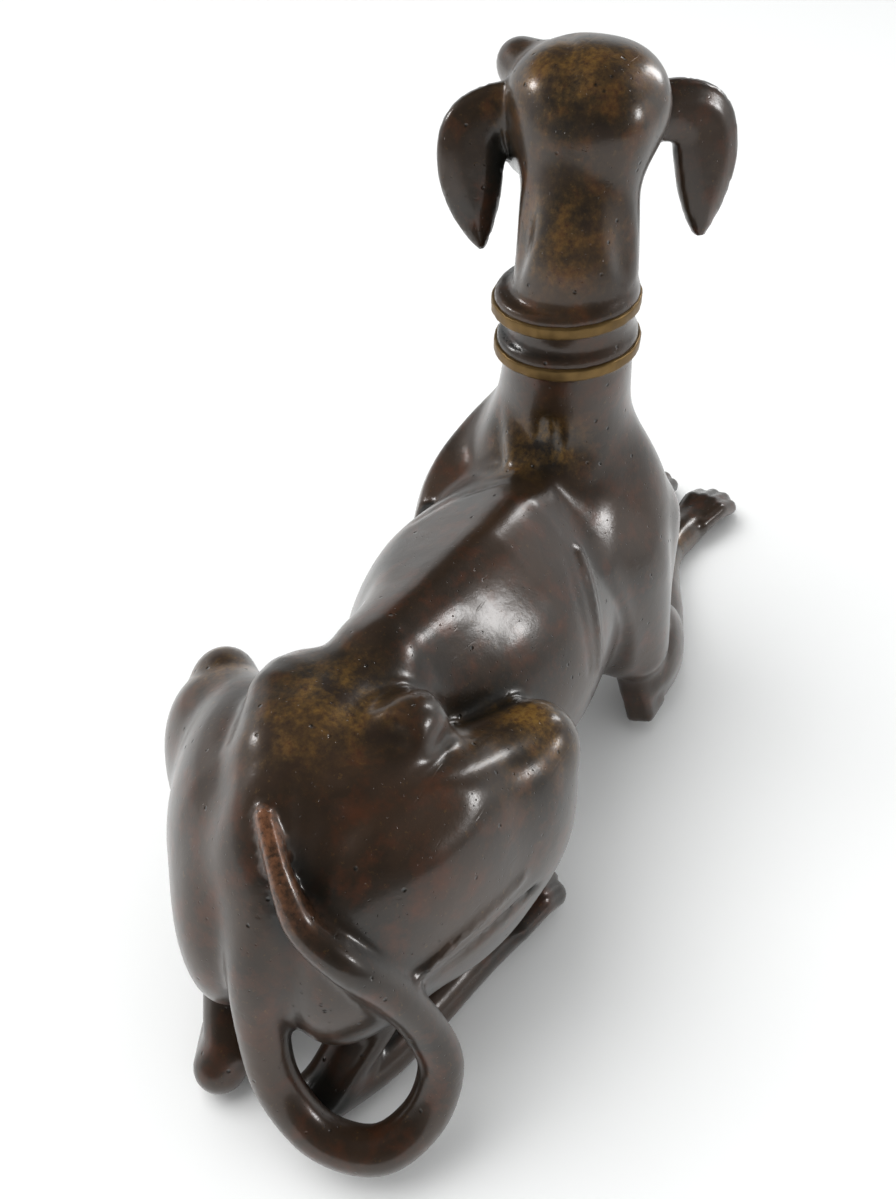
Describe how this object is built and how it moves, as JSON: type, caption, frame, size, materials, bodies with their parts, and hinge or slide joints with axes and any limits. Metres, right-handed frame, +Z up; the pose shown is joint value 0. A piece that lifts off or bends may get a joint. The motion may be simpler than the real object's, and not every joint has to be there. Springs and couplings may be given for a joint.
{
  "type": "bronze greyhound figure",
  "caption": "Recumbent greyhound in dark patinated bronze, head raised and turned, collar cast on, tail curled in a loop onto its rump.",
  "frame": {"origin": "middle of the figure's own box in plan, on the table it lies on", "axes": "+X from the tail to the forepaws, +Y to the dog's left, +Z up"},
  "size_m": [0.1954, 0.0628, 0.1249],
  "materials": {
    "patinated_bronze": "dark chocolate-brown patina, waxed, rubbed to warm brown on the high points"
  },
  "bodies": {
    "root": {"greyhound": "patinated_bronze"}
  },
  "joints": []
}
